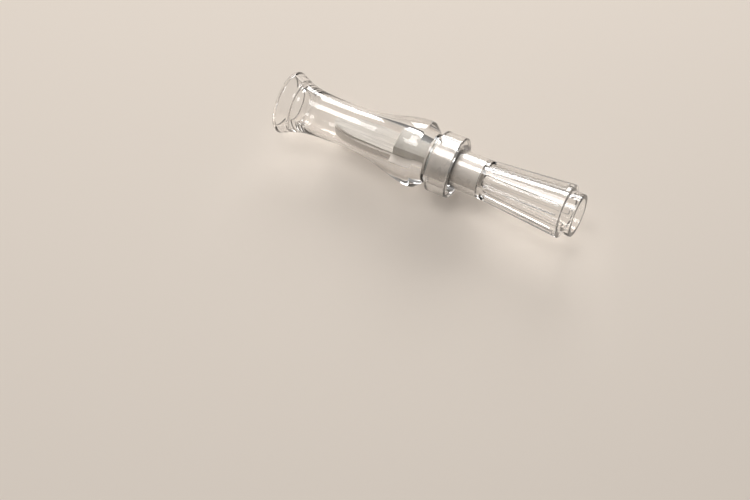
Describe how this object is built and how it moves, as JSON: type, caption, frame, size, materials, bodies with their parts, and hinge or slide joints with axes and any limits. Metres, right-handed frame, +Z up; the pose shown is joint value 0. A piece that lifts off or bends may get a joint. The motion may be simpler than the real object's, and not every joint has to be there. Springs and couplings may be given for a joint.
{
  "type": "duck call",
  "caption": "Clear hourglass-barrel duck call with a fluted bell, a double-reed tone board inside and an O-ring sealed insert that pulls out.",
  "frame": {"origin": "below the middle of the call's length, on the surface that the widest ring of the barrel rests on", "axes": "+X along the call's axis from the mouth end to the bell, +Z up, reeds facing up"},
  "size_m": [0.1388, 0.03, 0.03],
  "materials": {
    "clear_polycarbonate": "water-clear, polished",
    "frosted_polycarbonate": "translucent, lightly frosted, grey-beige",
    "reed_film": "translucent polyester film, satin",
    "wedge_rubber": "pale translucent, matt",
    "seal_rubber": "pale silicone, satin"
  },
  "bodies": {
    "barrel": {"barrel": "clear_polycarbonate", "barrel_band": "clear_polycarbonate"},
    "seal": {"tenon_o_ring": "seal_rubber"},
    "guts": {"tone_board": "frosted_polycarbonate"},
    "bell": {"bell": "clear_polycarbonate"},
    "lower_reed": {"lower_reed": "reed_film"},
    "upper_reed": {"upper_reed": "reed_film"},
    "wedge": {"wedge_block": "wedge_rubber"}
  },
  "joints": [
    {"name": "insert_pull", "type": "slide", "parent": "barrel", "child": "seal", "axis": [1, 0, 0], "range_m": [0, 0.065]},
    {"name": "insert_turn", "type": "hinge", "parent": "seal", "child": "guts", "pos_m": [0.00755, 0, 0.015], "axis": [1, 0, 0], "continuous": true},
    {"name": "bell_pull", "type": "slide", "parent": "guts", "child": "bell", "axis": [1, 0, 0], "range_m": [0, 0.014]},
    {"name": "wedge_pull", "type": "slide", "parent": "guts", "child": "wedge", "axis": [-1, 0, 0], "range_m": [0, 0.014]},
    {"name": "lower_reed_flex", "type": "hinge", "parent": "guts", "child": "lower_reed", "pos_m": [-0.01245, 0, 0.01621], "axis": [0, -1, 0], "range_deg": [0, 1.5], "stiffness_Nm_per_rad": 0.004, "springref_deg": -2.86},
    {"name": "upper_reed_flex", "type": "hinge", "parent": "guts", "child": "upper_reed", "pos_m": [-0.01245, 0, 0.01621], "axis": [0, -1, 0], "range_deg": [0, 1.5], "stiffness_Nm_per_rad": 0.002, "springref_deg": -2.86}
  ],
  "couplings": [
    {"joint": "upper_reed_flex", "follows": "lower_reed_flex", "ratio": 1}
  ]
}
